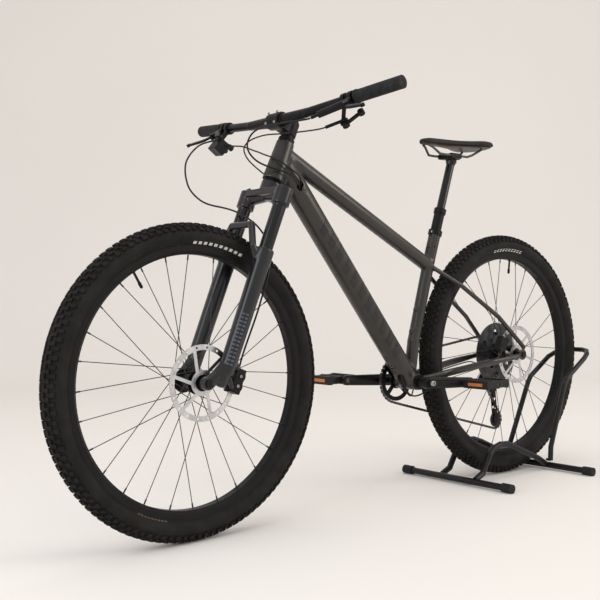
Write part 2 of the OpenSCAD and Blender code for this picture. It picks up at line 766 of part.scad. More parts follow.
module right_brake_blade() { color("#1c1c1c") mirror([0, 1, 0]) brake_blade(); }

// Thumb shifter ahead of and below the right-hand bar, drawn as its left-hand mirror image
control_y = 232;
shifter_drop = 52;
shift_pivot = [64, -27];
module shifter_half() {
    placed() difference() {
        on_bar(control_y, shifter_drop) {
            clamp_ring(-5, 5, 16.5);
            translate([15.5, -5, -6]) cube([38, 10, 12]);
            translate([50, -44, -16]) cube([36, 42, 32]);
            translate([shift_pivot[0], shift_pivot[1], -26]) cylinder(h = 12, r = 3);
            translate([shift_pivot[0], shift_pivot[1], -25.5]) cylinder(h = 2.5, r = 5);
            bar([54, -42, -10], [54, -56, -12], 4);
        }
        // hollow under the brake lever's reservoir, which passes just above
        on_bar(brake_y) bar([23, 5, -0.2], [68, -68.5, 3.3], 10.3, 9.2);
    }
}
module paddle_half() {
    placed() on_bar(control_y, shifter_drop) difference() {
        union() {
            translate([shift_pivot[0], shift_pivot[1], -22]) cylinder(h = 5, r = 8);
            translate([0, 0, -22]) linear_extrude(5)
                polygon([[69, -21], [56, -30], [46, -14], [36, -6], [32, 4], [44, 6], [52, -4]]);
            bar([40, 0, -19], [36, 2, -42], 6, 8);
        }
        translate([shift_pivot[0], shift_pivot[1], -30]) cylinder(h = 20, r = 3 + fit_gap);
    }
}
module shifter_body() { color("#181818") mirror([0, 1, 0]) shifter_half(); }
module shift_paddle() { color("#202020") mirror([0, 1, 0]) paddle_half(); }

// Dropper remote under the left-hand bar; its lever's local Z is the hinge axis
remote_pivot = [868, 222, 970];
remote_axis = [0, 0.546, -0.838];
remote_turn = 161;   // direction of the remote's paddle about its hinge
module on_remote() { aim(remote_pivot, remote_pivot + remote_axis) children(); }
module dropper_remote_body() {
    color("#181818") placed() {
        on_bar(control_y, 0) clamp_ring(-5, 5, 16.5);
        bar([880, 231, 1010], [870, 217, 983], 5);
        on_remote() {
            translate([0, 0, -11.5]) cylinder(h = 8, r = 11);
            translate([0, 0, -11.5]) cylinder(h = 18, r = 3);
            translate([0, 0, 3.5]) cylinder(h = 3, r = 9);
        }
        bar([874, 217, 978], [914, 204, 961], 4);
    }
}
module dropper_lever() {
    color("#202020") placed() on_remote() difference() {
        union() {
            translate([0, 0, -3]) cylinder(h = 6, r = 8.5);
            rotate([0, 0, remote_turn]) {
                translate([0, -4, -3]) cube([48, 8, 6]);
                translate([47, 0, -6]) cylinder(h = 12, r = 8);
            }
        }
        translate([0, 0, -5]) cylinder(h = 10, r = 3 + fit_gap);
    }
}

module compression_knob() {
    color("#1a1a1a") placed() steered() translate([leg_ahead, -leg_y, crown_top + face_gap]) {
        cylinder(h = 7, r = 12);
        rotate([0, 0, 30]) translate([-11, -2.5, 6]) cube([22, 5, 4]);
    }
}
module rebound_knob() {
    color("#7a2020") placed() steered() translate([leg_ahead - 3, -leg_y, 22]) cylinder(h = 12.7, r = 6.5);
}

leg_foot = 35;     // lower end of each fork leg, up the steering axis
// Two tabs on the left leg that carry the brake caliper
module caliper_tabs(gap = 0) {
    for (t = [12, 58])
        bar([leg_ahead, leg_y, t + 36], [-30 - gap, 61 - gap, t - gap], 6 + gap);
}
module fork_lowers() {
    color("#161616") placed() steered() difference() {
        union() {
            both_sides() {
                translate([leg_ahead, leg_y, leg_foot]) cylinder(h = 315 - leg_foot, r1 = 19.5, r2 = 21.5);
                translate([leg_ahead, leg_y, 315]) cylinder(h = 35, r = 22.5);
                bar([leg_ahead, leg_y, 64], [fork_offset, leg_y - 5, 4], 11);
                across(fork_offset, 65.5, 0, 15.5, 20);
            }
            bent(round_trip([[leg_ahead + 8, leg_y - 1, 312], [42, 65, 346], [47, 40, 401]]), 8.5);
            caliper_tabs();
        }
        both_sides() translate([leg_ahead, leg_y, 70]) cylinder(h = 300, r = stanchion_r + fit_gap);
        across(fork_offset, 0, 0, 7.5 + fit_gap, 200);
        across(fork_offset, 80.4, 0, 10.1, 10);
    }
}
module front_axle() {
    color("#303030") placed() steered() {
        across(fork_offset, 1, 0, 7.5, 150);
        across(fork_offset, 77, 0, 10, 3);
    }
}
caliper_ahead = -38;
module front_brake_caliper() {
    color("#1a1a1a") placed() steered() difference() {
        union() {
            translate([caliper_ahead - 15, 35, 4]) cube([28, 30, 60]);
            across(caliper_ahead - 2, 50, 22, 15, 32);
            across(caliper_ahead - 2, 50, 46, 15, 32);
        }
        translate([fork_offset, front_rotor_y, 0]) rotate([-90, 0, 0])
            cylinder(h = 3.4, r = rotor_r + 3, center = true);
        translate([caliper_ahead - 20, 44, 62]) cube([40, 6, 10]);
        caliper_tabs(0.1);
    }
}

// ---- seatpost and saddle -------------------------------------------------------------

post_head = 316;     // top of the inner post above the seat tube's bend
module dropper_inner_post() {
    color("#141414") placed() on_post() difference() {
        union() {
            translate([0, 0, 108]) cylinder(h = post_head - 108, r = post_r);
            translate([0, 0, post_head - 14]) cylinder(h = 14, r1 = post_r, r2 = 17);
        }
        translate([0, 0, 105]) cylinder(h = 180, r = post_r - 2);
    }
}
rail_z = 972;
rail_y = 22;
module saddle_clamp() {
    color("#1a1a1a") placed() {
        difference() {
            union() {
                translate([212, -17, 962]) cube([54, 34, 14]);
                both_sides() translate([216, 15, 964]) cube([46, 12, 15]);
                on_post() translate([0, 0, post_head + 0.05]) cylinder(h = 8, r = 15);
            }
            on_post() translate([0, 0, post_head - 20]) cylinder(h = 20.02, r = 17.3);
            both_sides() bar([180, rail_y, rail_z], [300, rail_y, rail_z], 3.53);
        }
    }
}
rail_left = [[345, 9, 998], [331, 14, 992], [308, rail_y, rail_z + 1], [290, rail_y, rail_z],
             [186, rail_y, rail_z], [168, 26, rail_z + 6], [138, 38, 996]];
module saddle_rails() {
    color("#202020") placed() both_sides() bent(rail_left, 3.5);
}
saddle_nose = 364;
module saddle_pad() {
    color("#191919") placed() {
        tail = saddle_nose - saddle_len;
        translate([0, 0, 1001]) linear_extrude(20) difference() {
            polygon([[saddle_nose, 0], [saddle_nose - 4, 13], [saddle_nose - 14, 18],
                     [300, 21], [250, 27], [210, 38], [170, 57], [145, saddle_w / 2],
                     [tail + 12, saddle_w / 2 - 3], [tail + 2, 45], [tail, 0], [tail + 2, -45],
                     [tail + 12, 3 - saddle_w / 2], [145, -saddle_w / 2], [170, -57], [210, -38],
                     [250, -27], [300, -21], [saddle_nose - 14, -18], [saddle_nose - 4, -13]]);
        }
    }
}

// ---- cables --------------------------------------------------------------------------

// Rear brake hose: left lever, loop ahead of the head tube, left port, down tube, chainstay
rear_hose_route = [[948.6, 189.4, 980.7], [953, 182, 979], [956, 165, 979], [960, 140, 979],
    [963, 110, 980], [972, 50, 980], [978, 18, 974], [983, 0, 960], [984, -10, 941],
    [979, -8, 921], [963, 4, 900], [938, 20, 887], [914, 33, 879], [892, 40, 872],
    [874, 44, 864], [862, 41, 853], [850, 29, 841], [838, 17, 829], [816, 12, 806],
    [760, 12, 748], [700, 12, 672], [640, 12, 594], [580, 12, 518], [520, 12, 442],
    [488, 13, 392], [474, 13, 352], [463, 13, 312], [450, 18, 285], [430, 24, 276],
    [405, 34, 284], [375, 48, 302], [348, 55, 318], [325, 59.5, 332], [300, 60, 344],
    [240, 65, 351], [180, 70.5, 358], [138, 75, 364], [118, 78, 374], [104, 76, 388],
    [95, 71, 399], [91, 64.5, 405]];
// Gear cable housing: shifter, across the head tube, left port, down tube, right chainstay
shift_route = [[907, -184.6, 968.4], [906, -172, 966], [907, -150, 963], [911, -120, 957],
    [914, -80, 943], [918, -50, 934], [923, -18, 923], [922, 12, 913], [911, 32, 901],
    [886, 38, 885], [868, 43, 873], [856, 40, 862], [844, 28, 850], [832, 16, 838],
    [812, 4, 816], [760, -10, 748], [700, -10, 672], [640, -10, 594], [580, -10, 518],
    [520, 0, 442], [488, 3, 392], [474, 3, 352], [462, 3, 312], [440, 2, 284],
    [412, -8, 272], [388, -24, 282], [366, -36, 301], [345, -44, 318], [300, -50.5, 323.6],
    [200, -59.6, 335.5], [100, -68.8, 347], [60, -78, 346], [30, -88, 340], [4, -92, 336]];
// Dropper cable housing: remote, loop ahead of the head tube, right port, down and seat tubes
dropper_route = [[914.6, 203.8, 960.8], [922, 196, 958], [928, 175, 957], [931, 130, 959],
    [935, 90, 961], [938, 60, 963], [951, 20, 965], [966, -16, 957], [972, -34, 945],
    [971, -41, 933], [959, -45, 915], [938, -45, 898], [914, -44, 883], [888, -46, 868],
    [873, -46, 861], [862, -41, 853], [850, -29, 841], [838, -17, 829], [820, -6, 804],
    [760, -2, 722], [700, -2, 644], [640, -2, 568], [580, -6, 492], [520, -10, 424],
    [484, -8, 385], [458, -4, 372], [434, -2, 368], [418, -2, 378], [413, 0, 402],
    [408, 0, 430], [399, 0, 460], [371.5, 0, 550], [352.6, 0, 612], [345, 0, 638.8]];
// Front brake hose: right lever, wide loop, behind the arch, down the left leg to its caliper
front_hose_route = [[948.6, -189.4, 980.7], [956, -186, 978], [976, -188, 973], [1004, -188, 962],
    [1033, -180, 941], [1056, -170, 917], [1068, -160, 895], [1074, -148, 868],
    [1071, -135, 837], [1053, -118, 811], [1032, -104, 799], [1004, -88, 792],
    [990, -66, 784], [984, -40, 773], [984, -10, 760], [984, 20, 744], [980, 40, 724],
    [971, 50, 700], [974, 62, 660], [990, 74, 620], [1008, 78, 580], [1026, 76, 530],
    [1044, 73, 486], [1056, 68, 452], [1060, 58, 425], [1062, 50, 402]];
module rear_brake_hose() { color("#111111") placed() cable(rear_hose_route, 2.5, 2); }
module shift_cable() { color("#111111") placed() cable(shift_route, 2.2, 2); }
module dropper_cable() { color("#111111") placed() cable(dropper_route, 2, 2); }
module front_brake_hose() { color("#111111") placed() cable(front_hose_route, 2.5, 3); }

// ---- stand ---------------------------------------------------------------------------

stand_y = 7;          // the stand sits a little to the left of the bicycle's middle plane
front_bar_x = 240;
rear_bar_x = -130.5;   // as close as the tyre allows
front_bar_half = 207;
rear_bar_half = 229;
cap_r = 13;
module floor_bar(x, half) {
    across(x, stand_y, cap_r, stand_tube_r, 2 * half - 12);
}
module stand_floor_bars() {
    color("#141414") placed() {
        floor_bar(front_bar_x, front_bar_half);
        floor_bar(rear_bar_x, rear_bar_half);
    }
}
module stand_end_caps() {
    color("#202020") placed()
        for (b = [[front_bar_x, front_bar_half], [rear_bar_x, rear_bar_half]])
            for (s = [-1, 1])
                difference() {
                    across(b[0], stand_y + s * (b[1] - 17), cap_r, cap_r, 34);
                    across(b[0], stand_y + s * (b[1] - 23), cap_r, stand_tube_r + 0.03, 34);
                }
}
module stand_side_arches() {
    color("#141414") placed() translate([0, stand_y, 0]) for (s = [-1, 1]) {
        y = s * arch_gap / 2;
        bent([[226, y, 16], [193, y, 30], [158, y, 84], [138, y, 99], [108, y, 106], [76, y, 104],
              [40, y, 92], [-80, y, 41], [-117, y, 20]], stand_tube_r - 0.5);
    }
}
hoop_back_x = -392;
hoop_base = 82;      // how far each hoop leg stands out beyond the middle of the stand
module stand_hoop() {
    color("#141414") placed() translate([0, stand_y, 0]) {
        bent(round_trip([[-121, hoop_base, 30], [-130, hoop_base - 4, 72],
                         [-218, hoop_base - 12, 262], [-232, hoop_base - 12, 280],
                         [-334, hoop_base - 12, 340], [-362, 62, 353], [-385, 46, 361],
                         [hoop_back_x, 26, 364]]), hoop_tube_r);
        both_sides() bar([-121, arch_gap / 2 + 4, 32], [-121, hoop_base, 32], 4);
    }
}

// ---- the assembly --------------------------------------------------------------------

frame();
headset_cups();
bottom_bracket_cups();
dropper_outer_tube();
rear_axle();
rear_brake_caliper();
rear_brake_hose();
shift_cable();
dropper_cable();
left_crank_arm();
right_crank_arm();
chainring();
pedal_spindles();
left_pedal();
right_pedal();
rear_tyre();
rear_rim();
rear_spokes();
rear_hub();
rear_rotor();
cassette();
front_tyre();
front_rim();
front_spokes();
front_hub();
front_rotor();
fork_crown_assembly();
stem();
headset_spacers();
handlebar();
grips();
left_brake_lever_body();
right_brake_lever_body();
left_brake_blade();
right_brake_blade();
shifter_body();
shift_paddle();
dropper_remote_body();
dropper_lever();
compression_knob();
rebound_knob();
fork_lowers();
front_axle();
front_brake_caliper();
front_brake_hose();
dropper_inner_post();
saddle_clamp();
saddle_rails();
saddle_pad();
derailleur_knuckle();
derailleur_link();
derailleur_mount();
derailleur_cage();
upper_pulley();
lower_pulley();
chain();
stand_floor_bars();
stand_side_arches();
stand_hoop();
stand_end_caps();
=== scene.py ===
"""Looks of a hardtail mountain bicycle on a rear-wheel display stand, built round its CAD frame."""

import json
import math

import bmesh
import bpy
from mathutils import Matrix, Vector


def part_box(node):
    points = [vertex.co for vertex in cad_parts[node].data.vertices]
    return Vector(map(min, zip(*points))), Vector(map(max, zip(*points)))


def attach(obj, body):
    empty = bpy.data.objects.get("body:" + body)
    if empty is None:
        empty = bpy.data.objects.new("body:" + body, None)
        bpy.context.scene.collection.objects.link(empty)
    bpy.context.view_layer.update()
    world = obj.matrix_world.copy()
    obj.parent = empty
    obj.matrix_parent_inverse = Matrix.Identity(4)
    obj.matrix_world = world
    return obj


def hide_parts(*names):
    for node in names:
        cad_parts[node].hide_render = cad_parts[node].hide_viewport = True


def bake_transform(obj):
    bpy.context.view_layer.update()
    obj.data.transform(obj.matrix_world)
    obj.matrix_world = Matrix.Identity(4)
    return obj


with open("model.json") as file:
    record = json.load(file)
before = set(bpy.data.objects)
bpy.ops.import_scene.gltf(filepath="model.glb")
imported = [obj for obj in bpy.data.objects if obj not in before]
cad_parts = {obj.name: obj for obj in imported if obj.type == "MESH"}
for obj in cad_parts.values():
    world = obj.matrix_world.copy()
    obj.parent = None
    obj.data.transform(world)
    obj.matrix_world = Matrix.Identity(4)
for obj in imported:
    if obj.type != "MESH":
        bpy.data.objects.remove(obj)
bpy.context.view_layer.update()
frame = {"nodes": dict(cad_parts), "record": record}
NODE_BODY = {n: b for b, ns in frame["record"]["behaviour"]["bodies"].items() for n in ns}
JOINTS = {j["name"]: j for j in frame["record"]["behaviour"]["joints"]}
FRONT_AXLE = Vector(JOINTS["front_wheel_spin"]["pos_m"])
REAR_AXLE = Vector(JOINTS["rear_wheel_spin"]["pos_m"])
STEER_FOOT = Vector(JOINTS["steering"]["pos_m"])
STEER_UP = Vector(JOINTS["steering"]["axis"]).normalized()
STEER_AHEAD = Vector((STEER_UP.z, 0, -STEER_UP.x))
MM = 0.001


def on_steer(up, ahead, y=0.0):
    """A point given in metres up the steering axis, ahead of it, and to the left."""
    return STEER_FOOT + up * STEER_UP + ahead * STEER_AHEAD + Vector((0, y, 0))


def bike(x, y, z):
    """A point given in millimetres ahead of, left of and above the floor below the rear axle."""
    return Vector((REAR_AXLE.x + x * MM, y * MM, z * MM))


def reach(node, direction):
    """How far a CAD node extends in a direction, measured from the origin."""
    o = frame["nodes"][node]
    return max((o.matrix_world @ v.co).dot(direction) for v in o.data.vertices)


# ---- camera --------------------------------------------------------------------------

def add_camera():
    yaw, pitch, roll = (math.radians(a) for a in (-130.012, -0.689, -0.861))
    ahead = Vector((math.cos(pitch) * math.cos(yaw), math.cos(pitch) * math.sin(yaw),
                    math.sin(pitch)))
    level = Vector((math.sin(yaw), -math.cos(yaw), 0))
    upright = level.cross(ahead)
    right = math.cos(roll) * level + math.sin(roll) * upright
    up = math.cos(roll) * upright - math.sin(roll) * level
    camera = bpy.data.objects.new("camera", bpy.data.cameras.new("camera"))
    bpy.context.collection.objects.link(camera)
    camera.data.lens = 55.05
    camera.data.sensor_width = 36
    camera.data.clip_start = 0.05
    turn = Matrix((right, up, -ahead)).transposed().to_4x4()
    camera.matrix_world = Matrix.Translation((1.7762, 1.8042, 0.5847)) @ turn
    bpy.context.scene.camera = camera


# ---- materials -----------------------------------------------------------------------

def material(name, color, metallic=0.0, rough=0.5, mottle=None, grain=None, coat=0.0,
             rough_spread=0.0, stretch=(1, 1, 1), second=None):
    """A surface with mottled colour (scale, amount), fine relief (scale, strength) and uneven gloss."""
    m = bpy.data.materials.new(name)
    m.use_nodes = True
    nodes, links = m.node_tree.nodes, m.node_tree.links
    shader = nodes["Principled BSDF"]
    shader.inputs["Base Color"].default_value = (*color, 1)
    shader.inputs["Metallic"].default_value = metallic
    shader.inputs["Roughness"].default_value = rough
    shader.inputs["Specular IOR Level"].default_value = 0.22
    shader.inputs["Coat Weight"].default_value = coat
    shader.inputs["Coat Roughness"].default_value = 0.18
    place = nodes.new("ShaderNodeTexCoord")
    scale = nodes.new("ShaderNodeMapping")
    scale.inputs["Scale"].default_value = stretch
    links.new(place.outputs["Object"], scale.inputs["Vector"])

    def noise(size, detail=4.0):
        n = nodes.new("ShaderNodeTexNoise")
        n.inputs["Scale"].default_value = size
        n.inputs["Detail"].default_value = detail
        links.new(scale.outputs["Vector"], n.inputs["Vector"])
        return n

    if mottle:
        ramp = nodes.new("ShaderNodeValToRGB")
        links.new(noise(mottle[0]).outputs["Fac"], ramp.inputs["Fac"])
        low, high = ramp.color_ramp.elements
        low.position, high.position = 0.35, 0.68
        low.color = (*[c * (1 - mottle[1]) for c in color], 1)
        high.color = (*(second or [min(c * (1 + mottle[1]), 1) for c in color]), 1)
        links.new(ramp.outputs["Color"], shader.inputs["Base Color"])
    if rough_spread:
        reach = nodes.new("ShaderNodeMapRange")
        reach.inputs["To Min"].default_value = max(rough - rough_spread, 0.02)
        reach.inputs["To Max"].default_value = min(rough + rough_spread, 1)
        links.new(noise(38).outputs["Fac"], reach.inputs["Value"])
        links.new(reach.outputs["Result"], shader.inputs["Roughness"])
    if grain:
        bump = nodes.new("ShaderNodeBump")
        bump.inputs["Strength"].default_value = grain[1]
        bump.inputs["Distance"].default_value = 0.0006
        links.new(noise(grain[0], 2).outputs["Fac"], bump.inputs["Height"])
        links.new(bump.outputs["Normal"], shader.inputs["Normal"])
    return m


LOOK = {
    "frame_paint": material("frame_paint", (0.036, 0.033, 0.030), 0.45, 0.36, (5, 0.12),
                            (1600, 0.12), 0.45, 0.05),
    "black_alloy": material("black_alloy", (0.010, 0.010, 0.0105), 0.4, 0.38, (60, 0.25),
                            (2600, 0.18), 0, 0.08),
    "fork_black": material("fork_black", (0.010, 0.010, 0.012), 0.2, 0.30, (9, 0.15),
                           (1900, 0.08), 0.6, 0.05),
    "rim_black": material("rim_black", (0.008, 0.008, 0.0085), 0.3, 0.42, (24, 0.2),
                          (2200, 0.12), 0, 0.07),
    "dark_steel": material("dark_steel", (0.09, 0.088, 0.085), 0.9, 0.36, (120, 0.3),
                           (1800, 0.2), 0, 0.12),
    "silver_steel": material("silver_steel", (0.56, 0.56, 0.57), 1.0, 0.3, (40, 0.15),
                             (900, 0.35), 0, 0.1, (1, 30, 1)),
    "spoke_steel": material("spoke_steel", (0.05, 0.05, 0.052), 0.7, 0.32, (70, 0.2),
                            (1500, 0.1), 0, 0.08),
    "cassette_grey": material("cassette_grey", (0.075, 0.075, 0.08), 0.9, 0.33, (50, 0.3),
                              (1400, 0.2), 0, 0.1),
    "tyre_rubber": material("tyre_rubber", (0.008, 0.0076, 0.007), 0, 0.72, (26, 0.3),
                            (850, 0.5), 0, 0.1, (1, 1, 1), (0.014, 0.0128, 0.0115)),
    "grip_rubber": material("grip_rubber", (0.018, 0.018, 0.019), 0, 0.74, (90, 0.3),
                            (1200, 0.6), 0, 0.08),
    "black_plastic": material("black_plastic", (0.016, 0.016, 0.017), 0, 0.48, (80, 0.2),
                              (1700, 0.4), 0, 0.08),
    "cable_black": material("cable_black", (0.010, 0.010, 0.010), 0, 0.33, (140, 0.25),
                            (900, 0.12), 0, 0.06),
    "saddle_cover": material("saddle_cover", (0.017, 0.0165, 0.016), 0, 0.58, (34, 0.25),
                             (1300, 0.75), 0, 0.08),
    "stand_black": material("stand_black", (0.007, 0.007, 0.0075), 0.1, 0.4, (30, 0.2),
                            (1100, 0.45), 0.2, 0.08),
    "red_anodised": material("red_anodised", (0.16, 0.012, 0.012), 0.8, 0.34, (60, 0.2),
                             (1800, 0.15), 0, 0.06),
}
STANCHION = material("stanchion", (0.008, 0.008, 0.009), 0.7, 0.10, (50, 0.2), (2400, 0.04), 0.6, 0.03)
SHELL = material("saddle_shell", (0.05, 0.036, 0.026), 0.3, 0.42, (30, 0.2), (1300, 0.3), 0, 0.08)
MARK_WHITE = material("mark_white", (0.62, 0.61, 0.58), 0, 0.6, (300, 0.12), (900, 0.2))
MARK_DARK = material("mark_dark", (0.022, 0.021, 0.020), 0.3, 0.3, (60, 0.15), (1600, 0.1), 0.4, 0.05)
MARK_BLUE = material("mark_blue", (0.075, 0.088, 0.12), 0.2, 0.4, (60, 0.15), (1600, 0.1), 0.3, 0.05)
MARK_BROWN = material("mark_brown", (0.14, 0.085, 0.055), 0, 0.7, (200, 0.2), (900, 0.2))
AMBER = material("amber_reflector", (0.55, 0.16, 0.02), 0, 0.22, (900, 0.35), (1500, 0.8), 0.8)
BOLT_STEEL = material("bolt_steel", (0.42, 0.42, 0.43), 1.0, 0.3, (300, 0.2), (1800, 0.2), 0, 0.08)


# ---- making pieces -------------------------------------------------------------------

def piece(name, verts, faces, look, body, smooth=True):
    mesh = bpy.data.meshes.new(name)
    mesh.from_pydata([tuple(v) for v in verts], [], faces)
    mesh.update()
    o = bpy.data.objects.new(name, mesh)
    bpy.context.collection.objects.link(o)
    mesh.materials.append(look)
    for f in mesh.polygons:
        f.use_smooth = smooth
    if body:
        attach(o, body)
    return o


def apply_modifiers(o):
    graph = bpy.context.evaluated_depsgraph_get()
    mesh = bpy.data.meshes.new_from_object(o.evaluated_get(graph))
    o.modifiers.clear()
    o.data = mesh


def welded_copy(node, name):
    """A copy of a CAD node's mesh whose facets are joined at their corners."""
    source = frame["nodes"][node]
    mesh = source.data.copy()
    mesh.transform(source.matrix_world)
    work = bmesh.new()
    work.from_mesh(mesh)
    bmesh.ops.remove_doubles(work, verts=work.verts, dist=2e-6)
    work.to_mesh(mesh)
    work.free()
    o = bpy.data.objects.new(name, mesh)
    bpy.context.collection.objects.link(o)
    return o


def dress(o, node, look, rides=True):
    """Gives a finished replacement of a CAD node its look and its body."""
    o.data.materials.clear()
    o.data.materials.append(look)
    for f in o.data.polygons:
        f.use_smooth = True
    if rides:
        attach(o, NODE_BODY[node])
    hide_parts(node)
    return o


SLOT = {s["node"]: s["material_slot"] for s in frame["record"]["subparts"]}


def fuse_rods(mesh, rods):
    """Adds round-ended rods, given as (start, end, radius), to a mesh about to be remeshed."""
    work = bmesh.new()
    work.from_mesh(mesh)
    for start, end, radius in rods:
        x, y, z = frame_of(end - start)
        turn = Matrix((x, y, z)).transposed().to_4x4()
        bmesh.ops.create_cone(work, cap_ends=True, segments=28, radius1=radius, radius2=radius,
                              depth=(end - start).length,
                              matrix=Matrix.Translation((start + end) / 2) @ turn)
        for at in (start, end):
            bmesh.ops.create_icosphere(work, subdivisions=3, radius=radius,
                                       matrix=Matrix.Translation(at))
    work.to_mesh(mesh)
    work.free()


def cast(node, voxel, rounds=6, look=None, rods=()):
    """The node with its junctions run together and its edges eased, as on a casting or a weld."""
    o = welded_copy(node, node + "_cast")
    fuse_rods(o.data, rods)
    remesh = o.modifiers.new("remesh", "REMESH")
    remesh.mode, remesh.voxel_size, remesh.adaptivity = "VOXEL", voxel, 0
    ease = o.modifiers.new("ease", "SMOOTH")
    ease.factor, ease.iterations = 0.5, rounds
    apply_modifiers(o)
    return dress(o, node, look or LOOK[SLOT[node]])


def hose(node):
    """A round cable or hose on its CAD route, smoothed into a round tube and held by no body."""
    o = welded_copy(node, node + "_sheath")
    work = bmesh.new()
    work.from_mesh(o.data)
    bmesh.ops.join_triangles(work, faces=work.faces, angle_face_threshold=0.6,
                             angle_shape_threshold=0.9)
    work.to_mesh(o.data)
    work.free()
    o.modifiers.new("round", "SUBSURF").levels = 2
    apply_modifiers(o)
    dress(o, node, LOOK[SLOT[node]], rides=False)
    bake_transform(o)


def frame_of(direction):
    z = direction.normalized()
    x = z.orthogonal().normalized()
    return x, z.cross(x), z


def lathe(name, start, axis, profile, look, body, sides=32, ring=False):
    """A turned piece: profile holds (distance along the axis, radius) pairs, in metres.
    A ring's profile closes on itself, and any other piece is capped at both ends."""
    x, y, z = frame_of(axis)
    verts, faces = [], []
    for along, radius in profile:
        for k in range(sides):
            a = 2 * math.pi * k / sides
            verts.append(start + z * along + radius * (math.cos(a) * x + math.sin(a) * y))
    for i in range(len(profile) - (0 if ring else 1)):
        j = (i + 1) % len(profile)
        for k in range(sides):
            n = (k + 1) % sides
            faces.append((i * sides + k, i * sides + n, j * sides + n, j * sides + k))
    if not ring:
        faces.append(tuple(range(sides - 1, -1, -1)))
        faces.append(tuple(range((len(profile) - 1) * sides, len(profile) * sides)))
    o = piece(name, verts, faces, look, None)
    o.data.set_sharp_from_angle(angle=math.radians(40))
    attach(o, body)
    return o


def bolt_head(name, at, axis, radius, body):
    """A socket-head bolt seen from its head."""
    h, r = radius * 0.9, radius
    return lathe(name, at, axis, [(0, r), (h * 0.8, r), (h, r * 0.88), (h, r * 0.5),
                                  (h * 0.5, r * 0.46), (h * 0.45, 0.0003)],
                 BOLT_STEEL, body, 24)


# ---- wheels --------------------------------------------------------------------------

TYRE_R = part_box("front_tyre")[1][2] - FRONT_AXLE.z
SECTION_R = (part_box("front_tyre")[1][1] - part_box("front_tyre")[0][1]) / 2
KNOB = 5.0 * MM
CASING_R = SECTION_R - KNOB
CROWN_R = TYRE_R - SECTION_R


def casing_r(tilt):
    """The casing is thinner under the tread than at the walls, which reach the rim."""
    part = min(max((math.degrees(abs(tilt)) - 62) / 26, 0), 1)
    return CASING_R + (SECTION_R - 0.6 * MM - CASING_R) * part * part * (3 - 2 * part)


def tyre_point(axle, turn, tilt, radius):
    """A point of the tyre: turn goes round the wheel, and tilt round its section from the crown."""
    out = CROWN_R + radius * math.cos(tilt)
    return axle + Vector((out * math.cos(turn), radius * math.sin(tilt), out * math.sin(turn)))


def knobs():
    """(place in the pattern's repeat, tilt, length round the wheel, width) for each knob on one side."""
    return ((0.00, 11, 12, 9), (0.50, 15, 11, 8), (0.26, 34, 10, 7), (0.76, 37, 11, 7),
            (0.02, 58, 13, 11), (0.50, 57, 10, 9))


def tyre(end, axle, body):
    verts, faces, around = [], [], 192
    edge = math.radians(144)
    section = [edge * (i / 14 - 1) for i in range(29)]
    for i in range(around):
        for tilt in section:
            verts.append(tyre_point(axle, 2 * math.pi * i / around, tilt, casing_r(tilt)))
    n = len(section)
    for i in range(around):
        j = (i + 1) % around
        for k in range(n):
            m = (k + 1) % n
            faces.append((i * n + k, j * n + k, j * n + m, i * n + m))
    repeats = 58
    for unit in range(repeats):
        for phase, tilt_deg, long_mm, wide_mm in knobs():
            for side in (1, -1):
                shift = phase + (0.5 if side < 0 and tilt_deg < 50 else 0)
                turn = 2 * math.pi * (unit + shift) / repeats
                tilt = side * math.radians(tilt_deg)
                half_turn = long_mm * MM / 2 / TYRE_R
                half_tilt = wide_mm * MM / 2 / SECTION_R
                base = len(verts)
                for radius, shrink in ((CASING_R - 0.8 * MM, 1.1), (SECTION_R - 0.5 * MM, 0.9),
                                       (SECTION_R + 0.1 * MM, 0.78)):
                    for u, v in ((-1, -1), (1, -1), (1, 1), (-1, 1)):
                        verts.append(tyre_point(axle, turn + u * half_turn * shrink,
                                                tilt + v * half_tilt * shrink, radius))
                for ring in (0, 4):
                    for k in range(4):
                        m = (k + 1) % 4
                        faces.append((base + ring + k, base + ring + m,
                                      base + ring + 4 + m, base + ring + 4 + k))
                faces.append((base + 8, base + 9, base + 10, base + 11))
    o = piece(end + "_knobbed_tyre", verts, faces, LOOK["tyre_rubber"], None)
    work = bmesh.new()
    work.from_mesh(o.data)
    bmesh.ops.recalc_face_normals(work, faces=work.faces)
    work.to_mesh(o.data)
    work.free()
    o.data.set_sharp_from_angle(angle=math.radians(35))
    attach(o, body)
    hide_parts(end + "_tyre")


def sidewall_patch(name, axle, body, turn_deg, spread_deg, tilt_deg, rise_deg, look):
    """A thin printed mark on the left wall of a tyre."""
    verts, faces, steps = [], [], 8
    for i in range(steps + 1):
        turn = math.radians(turn_deg + spread_deg * (i / steps - 0.5))
        for k in (-0.5, 0.5):
            tilt = math.radians(tilt_deg + k * rise_deg)
            verts.append(tyre_point(axle, turn, tilt, casing_r(tilt) + 0.25 * MM))
    for i in range(steps):
        faces.append((2 * i, 2 * i + 1, 2 * i + 3, 2 * i + 2))
    return piece(name, verts, faces, look, body)


def valve(end, axle, body, turn_deg):
    a = math.radians(turn_deg)
    out = Vector((math.cos(a), 0, math.sin(a)))
    lathe(end + "_valve", axle + out * 0.2985, -out,
          [(0, 0.0045), (0.004, 0.0045), (0.004, 0.003), (0.030, 0.003), (0.031, 0.004),
           (0.042, 0.0038), (0.045, 0.002)], LOOK["black_alloy"], body, 20)


def printed_run(name, axle, body, turns, count, tilt_deg, rise_deg, look):
    """A row of plain printed blocks round a tyre's left wall."""
    pitch = (turns[1] - turns[0]) / count
    for i in range(count):
        sidewall_patch(f"{name}_{i}", axle, body, turns[0] + (i + 0.5) * pitch, pitch * 0.6,
                       tilt_deg, rise_deg, look)


# ---- marks and small fittings --------------------------------------------------------

